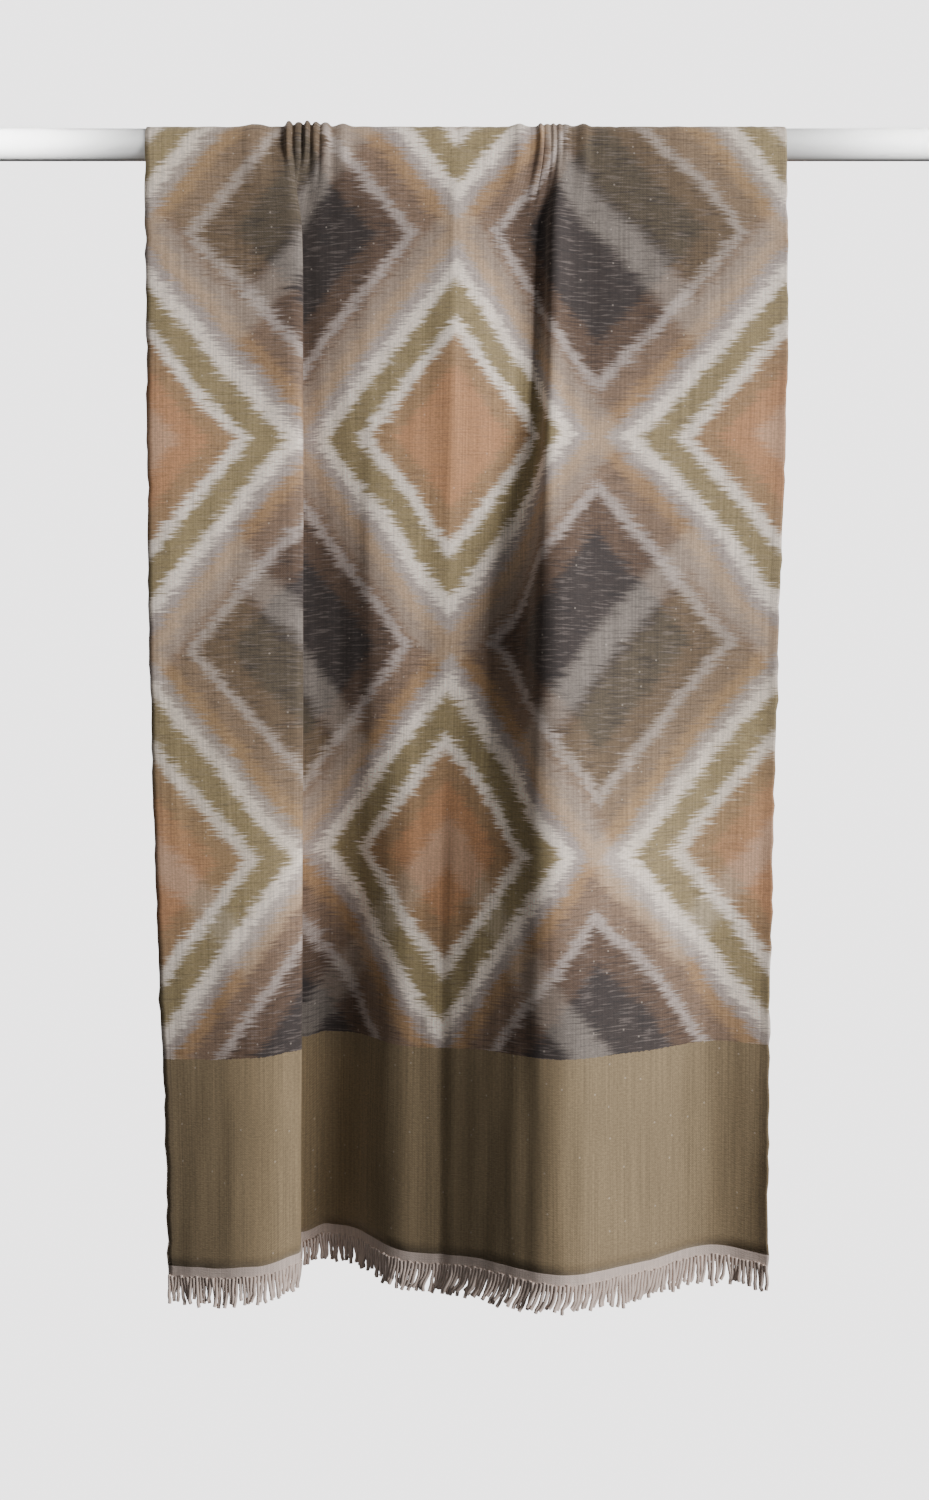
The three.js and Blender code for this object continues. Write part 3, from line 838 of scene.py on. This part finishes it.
class ShawlColours(bpy.types.PropertyGroup):
    charcoal: StringProperty(name="Charcoal", description="Dark lozenges", default="#3B3230")
    brown: StringProperty(name="Brown grey", description="Shade round the dark lozenges", default="#604B3D")
    taupe: StringProperty(name="Taupe", description="Warm grey areas", default="#876E5B")
    tan: StringProperty(name="Tan", description="Tan rings", default="#AA8763")
    salmon: StringProperty(name="Salmon", description="Centres of the light lozenges", default="#C59067")
    olive: StringProperty(name="Olive", description="Olive rings", default="#9C8A64")
    cream: StringProperty(name="Cream", description="Pale outlines", default="#FDEEDF")
    lilac: StringProperty(name="Lilac grey", description="Thin cool rings", default="#B1A29B")
    slub: StringProperty(name="Slub", description="Dark weft dashes", default="#2A2526")
    band: StringProperty(name="End band", description="Plain olive end bands", default="#8A775A")
    fringe: StringProperty(name="Fringe", description="Woven strips and strands", default="#D6C3B8")
    rod: StringProperty(name="Rod", description="Paint on the rod", default="#F2F2F1")
    ground: StringProperty(name="Ground", description="Pale studio ground", default="#E6E4E5")
    feather_mm: FloatProperty(name="Feather", description="Depth of the comb at borders, mm", default=17.0)
    lozenge_width_mm: FloatProperty(name="Lozenge width", description="Across the cloth, mm", default=350.0)
    lozenge_height_mm: FloatProperty(name="Lozenge height", description="Along the cloth, mm", default=400.0)
    band_mm: FloatProperty(name="Band", description="Height of the end bands, mm", default=190.0)


class SHAWL_OT_rod(bpy.types.Operator):
    """Makes the round rod that the shawl hangs over."""

    bl_idname = "shawl.rod"
    bl_label = "Rod"

    def execute(self, context):
        outline = [
            (0, -ROD_HALF),
            (ROD_RADIUS - 1.5, -ROD_HALF),
            (ROD_RADIUS - 0.4, -ROD_HALF + 0.5),
            (ROD_RADIUS, -ROD_HALF + 1.5),
        ]
        outline += [(radius, -x) for radius, x in reversed(outline)]
        build = bmesh.new()
        rings = []
        for radius, x in outline:
            if radius == 0:
                rings.append([build.verts.new((x * UNIT, 0, 0))])
                continue
            ring = []
            for k in range(ROD_SIDES):
                a = 2 * math.pi * k / ROD_SIDES
                y = radius * math.cos(a)
                z = radius * math.sin(a)
                ring.append(build.verts.new((x * UNIT, y * UNIT, z * UNIT)))
            rings.append(ring)
        for low, high in zip(rings, rings[1:]):
            for k in range(ROD_SIDES):
                n = (k + 1) % ROD_SIDES
                corners = [low[k % len(low)], low[n % len(low)]]
                corners += [high[n % len(high)], high[k % len(high)]]
                build.faces.new(list(dict.fromkeys(corners)))
        bmesh.ops.recalc_face_normals(build, faces=build.faces)
        mesh = bpy.data.meshes.new("rod_bar")
        build.to_mesh(mesh)
        build.free()
        mesh.polygons.foreach_set("use_smooth", [len(p.vertices) == 4 for p in mesh.polygons])
        piece = new_object("rod_bar", mesh)
        mesh.materials.append(rod_material(context.scene.shawl_colours))
        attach(piece, "root")
        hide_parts("rod")
        return {"FINISHED"}


class SHAWL_OT_cloth(bpy.types.Operator):
    """Makes the cloth: one web over the rod with its folds, gathers and soft ripples."""

    bl_idname = "shawl.cloth"
    bl_label = "Cloth"

    def execute(self, context):
        sizes = context.scene.shawl_sizes
        ways = dense_ways()
        columns = dense_columns()
        grid = shown_grid(ways, columns, sizes.ripple)
        mesh = grid_mesh("shawl_cloth", grid, ways, columns)
        piece = new_object("shawl_cloth", mesh)
        mesh.materials.append(shawl_material(context.scene.shawl_colours))
        thicken(piece, sizes.wall / UNIT)
        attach(piece, "root")
        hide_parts("shawl")
        return {"FINISHED"}


def strand_tree():
    """Geometry Nodes: strands along a hem path, swept and curled, tapering to their tips."""
    tree = bpy.data.node_groups.new("wool_strands", "GeometryNodeTree")
    face = tree.interface
    face.new_socket("Path", in_out="INPUT", socket_type="NodeSocketGeometry")
    for name, kind in (
        ("Strands", "NodeSocketInt"),
        ("Length", "NodeSocketFloat"),
        ("Thickness", "NodeSocketFloat"),
        ("Curl", "NodeSocketFloat"),
        ("Seed", "NodeSocketInt"),
        ("Yarn", "NodeSocketMaterial"),
    ):
        face.new_socket(name, in_out="INPUT", socket_type=kind)
    face.new_socket("Strands mesh", in_out="OUTPUT", socket_type="NodeSocketGeometry")
    given = add(tree, "NodeGroupInput").outputs
    path = add(tree, "GeometryNodeMeshToCurve", None, Mesh=given["Path"])
    spots = add(
        tree, "GeometryNodeResampleCurve", None, Curve=path.outputs[0], Count=given["Strands"]
    )
    foot = add(tree, "ShaderNodeCombineXYZ", None, Z=maths(tree, "MULTIPLY", given["Length"], -1.0))
    root_point = (0.0, 0.0, STRAND_LAP * UNIT)
    line = add(tree, "GeometryNodeCurvePrimitiveLine", None, Start=root_point, End=foot.outputs[0])
    fine = add(tree, "GeometryNodeResampleCurve", None, Curve=line.outputs[0], Count=9)

    def chance(low, high, offset):
        made = add(
            tree,
            "FunctionNodeRandomValue",
            {"data_type": "FLOAT"},
            Seed=maths(tree, "ADD", given["Seed"], offset),
        )
        made.inputs[2].default_value = low
        made.inputs[3].default_value = high
        return made.outputs[1]

    size = add(tree, "ShaderNodeCombineXYZ", None, X=1.0, Y=1.0, Z=chance(0.82, 1.10, 1.0))
    lean = add(tree, "ShaderNodeCombineXYZ", None, X=chance(-0.06, 0.06, 2.0), Y=chance(-0.12, 0.12, 3.0))
    rows = add(
        tree,
        "GeometryNodeInstanceOnPoints",
        None,
        Points=spots.outputs[0],
        Instance=fine.outputs[0],
        Scale=size.outputs[0],
        Rotation=lean.outputs[0],
    )
    real = add(tree, "GeometryNodeRealizeInstances", None, Geometry=rows.outputs[0])
    along = add(tree, "GeometryNodeSplineParameter").outputs[0]
    bend = maths(tree, "POWER", along, 1.7)
    sweep = add(tree, "GeometryNodeInputNamedAttribute", {"data_type": "FLOAT"}, Name="sweep")
    place = add(tree, "GeometryNodeInputPosition")
    cloud = add(
        tree,
        "ShaderNodeTexNoise",
        {"noise_dimensions": "4D"},
        Vector=place.outputs[0],
        Scale=85.0,
        Detail=2.0,
        W=maths(tree, "MULTIPLY", given["Seed"], 1.0),
    )
    middle = add(
        tree,
        "ShaderNodeVectorMath",
        {"operation": "SUBTRACT"},
        _0=cloud.outputs["Color"],
        _1=(0.5, 0.5, 0.5),
    )
    wander = add(
        tree, "ShaderNodeVectorMath", {"operation": "SCALE"}, _0=middle.outputs[0],
        Scale=maths(tree, "MULTIPLY", bend, given["Curl"]),
    )
    swing = add(tree, "ShaderNodeCombineXYZ", None, X=maths(tree, "MULTIPLY", bend, sweep.outputs[0]))
    total = add(
        tree,
        "ShaderNodeVectorMath",
        {"operation": "ADD"},
        _0=wander.outputs[0],
        _1=swing.outputs[0],
    )
    bent = add(tree, "GeometryNodeSetPosition", None, Geometry=real.outputs[0], Offset=total.outputs[0])
    tip = maths(tree, "SUBTRACT", 1.0, maths(tree, "MULTIPLY", maths(tree, "POWER", along, 3.0), 0.72))
    root = maths(tree, "MINIMUM", maths(tree, "MULTIPLY_ADD", along, 2.6, 0.12), 1.0)
    taper = maths(tree, "MULTIPLY", tip, root)
    round_ = add(tree, "GeometryNodeSetCurveRadius", None, Curve=bent.outputs[0], Radius=taper)
    ring = add(
        tree,
        "GeometryNodeCurvePrimitiveCircle",
        {"mode": "RADIUS"},
        Resolution=5,
        Radius=maths(tree, "MULTIPLY", given["Thickness"], 0.5),
    )
    tube = add(
        tree, "GeometryNodeCurveToMesh", None, Curve=round_.outputs[0], Profile_Curve=ring.outputs[0],
        Fill_Caps=True,
    )
    solid = add(tree, "GeometryNodeRealizeInstances", None, Geometry=tube.outputs[0])
    dyed = add(tree, "GeometryNodeSetMaterial", None, Geometry=solid.outputs[0], Material=given["Yarn"])
    add(tree, "NodeGroupOutput", None, Strands_mesh=dyed.outputs[0])
    return tree


def hem_path(name, side, sweep_table, ripple):
    """Edge path along the lower edge of a woven strip, with how far each strand sweeps."""
    drop = FRONT_DROP if side < 0 else ARC + BACK_DROP
    way = side * (drop + SEAM_GAP + STRIP_HEIGHT)
    columns = np.linspace(1.5, CLOTH_WIDTH - 1.5, 700)
    points = shown_grid([way - 1, way, way + 1], columns, ripple)[1] * UNIT
    mesh = bpy.data.meshes.new(name)
    mesh.from_pydata(points.tolist(), [(i, i + 1) for i in range(len(points) - 1)], [])
    sweep = mesh.attributes.new("sweep", "FLOAT", "POINT")
    sweep.data.foreach_set("value", straight(sweep_table, 1, columns) * UNIT)
    return new_object(name, mesh)


def make_strands(name, side, sweep_table, count, sizes, yarn, seed):
    piece = hem_path(name, side, sweep_table, sizes.ripple)
    tree = strand_tree()
    modifier = piece.modifiers.new("Strands", "NODES")
    modifier.node_group = tree
    values = {
        "Strands": count,
        "Length": sizes.strand_length,
        "Thickness": sizes.strand_thickness,
        "Curl": 0.011,
        "Seed": seed,
        "Yarn": yarn,
    }
    for item in tree.interface.items_tree:
        if item.item_type == "SOCKET" and item.in_out == "INPUT" and item.name in values:
            modifier[item.identifier] = values[item.name]
    bake(piece)
    if len(piece.data.polygons) < count * 20:
        raise RuntimeError(f"{name}: the strands weren't made")
    piece.data.materials.clear()
    piece.data.materials.append(yarn)
    piece.data.polygons.foreach_set("use_smooth", np.ones(len(piece.data.polygons), bool))
    return piece


class SHAWL_OT_fringes(bpy.types.Operator):
    """Makes the two fringes: a narrow woven strip at each hem and its loose strands."""

    bl_idname = "shawl.fringes"
    bl_label = "Fringes"

    def execute(self, context):
        sizes = context.scene.shawl_sizes
        colours = context.scene.shawl_colours
        woven = strip_material(colours)
        yarn = strand_material(colours)
        columns = dense_columns()
        for side, label, table, count in (
            (-1, "front", FRONT_SWEEP, sizes.strands),
            (1, "back", BACK_SWEEP, int(sizes.strands * 0.8)),
        ):
            drop = FRONT_DROP if side < 0 else ARC + BACK_DROP
            heights = np.linspace(-STRIP_LAP, SEAM_GAP + STRIP_HEIGHT, 6)
            ways = sorted(side * (drop + h) for h in heights)
            grid = shown_grid(ways, columns, sizes.ripple)
            mesh = grid_mesh(f"{label}_fringe_strip", grid, ways, columns)
            strip = new_object(f"{label}_fringe_strip", mesh)
            mesh.materials.append(woven)
            thicken(strip, sizes.wall / UNIT * 0.8)
            name = f"{label}_fringe_strands"
            strands = make_strands(name, side, table, count, sizes, yarn, 5 - side)
            for piece in (strip, strands):
                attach(piece, "root")
                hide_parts(f"{label}_fringe")
        return {"FINISHED"}


class SHAWL_OT_stage(bpy.types.Operator):
    """Makes the plain studio: pale ground, soft lights and the camera."""

    bl_idname = "shawl.stage"
    bl_label = "Studio"

    def execute(self, context):
        scene = context.scene
        colours = scene.shawl_colours
        # Pale ground behind the object in every view; the cloth itself gets little of its light.
        world = bpy.data.worlds.new("pale_ground")
        scene.world = world
        world.use_nodes = True
        tree = world.node_tree
        tree.nodes.clear()
        fill = add(tree, "ShaderNodeBackground", None, Color=linear("#FFFFFF"), Strength=0.055)
        ground = add(tree, "ShaderNodeBackground", None, Color=linear(colours.ground), Strength=3.9)
        seen = add(tree, "ShaderNodeLightPath").outputs["Is Camera Ray"]
        both = add(tree, "ShaderNodeMixShader", None, _0=seen, _1=fill.outputs[0], _2=ground.outputs[0])
        add(tree, "ShaderNodeOutputWorld", None, Surface=both.outputs[0])

        def lamp(name, place, aim, size, power, spread=180):
            data = bpy.data.lights.new(name, "AREA")
            data.shape = "RECTANGLE"
            data.size, data.size_y = size
            data.energy = power
            data.spread = math.radians(spread)
            item = bpy.data.objects.new(name, data)
            item.location = place
            item.rotation_euler = (Vector(aim) - Vector(place)).to_track_quat("-Z", "Y").to_euler()
            bpy.context.collection.objects.link(item)

        # The key stands 54 degrees to the right: folds that face it are bright, the others dark.
        lamp("window_right", (4.84, -3.55, 0.7), (0.0, 0.0, -0.5), (2.2, 2.8), 570.0)
        lamp("window_behind", (-4.2, 4.2, 0.9), (0.0, 0.0, -0.5), (2.2, 2.8), 420.0)
        lamp("soft_front", (-0.9, -1.7, 1.1), (0.0, 0.0, -0.1), (1.2, 1.0), 7.0)
        # Two narrow lamps on the bare ends of the rod.
        lamp("rod_left", (-0.62, -1.0, 0.12), (-0.455, 0.0, 0.0), (0.1, 0.1), 0.55, 14)
        lamp("rod_right", (0.62, -1.0, 0.12), (0.455, 0.0, 0.0), (0.1, 0.1), 0.3, 14)

        # Level camera, placed so that the rod falls on its row of the frame.
        lens = bpy.data.cameras.new("camera")
        lens.sensor_fit = "VERTICAL"
        lens.sensor_height = 36.0
        lens.lens = lens.sensor_height * CAMERA_REACH / (FRAME_HEIGHT / PIXELS_PER_MM * UNIT)
        camera = bpy.data.objects.new("camera", lens)
        below_rod = (FRAME_HEIGHT / 2 - ROD_ROW) / PIXELS_PER_MM * UNIT
        camera.location = (0.0, -CAMERA_REACH, -below_rod)
        camera.rotation_euler = (math.pi / 2, 0, 0)
        bpy.context.collection.objects.link(camera)
        scene.camera = camera
        return {"FINISHED"}


class SHAWL_PT_panel(bpy.types.Panel):
    bl_idname = "SHAWL_PT_panel"
    bl_label = "Shawl"
    bl_space_type = "VIEW_3D"
    bl_region_type = "UI"
    bl_category = "Shawl"

    def draw(self, context):
        for name in ("shawl.stage", "shawl.rod", "shawl.cloth", "shawl.fringes"):
            self.layout.operator(name)


CLASSES = (
    ShawlSizes,
    ShawlColours,
    SHAWL_OT_rod,
    SHAWL_OT_cloth,
    SHAWL_OT_fringes,
    SHAWL_OT_stage,
    SHAWL_PT_panel,
)


def register():
    for item in CLASSES:
        bpy.utils.register_class(item)
    bpy.types.Scene.shawl_sizes = PointerProperty(type=ShawlSizes)
    bpy.types.Scene.shawl_colours = PointerProperty(type=ShawlColours)


def unregister():
    del bpy.types.Scene.shawl_colours
    del bpy.types.Scene.shawl_sizes
    for item in reversed(CLASSES):
        bpy.utils.unregister_class(item)


def main():
    register()
    bpy.ops.shawl.stage()
    bpy.ops.shawl.rod()
    bpy.ops.shawl.cloth()
    bpy.ops.shawl.fringes()


if __name__ == "__main__":
    main()
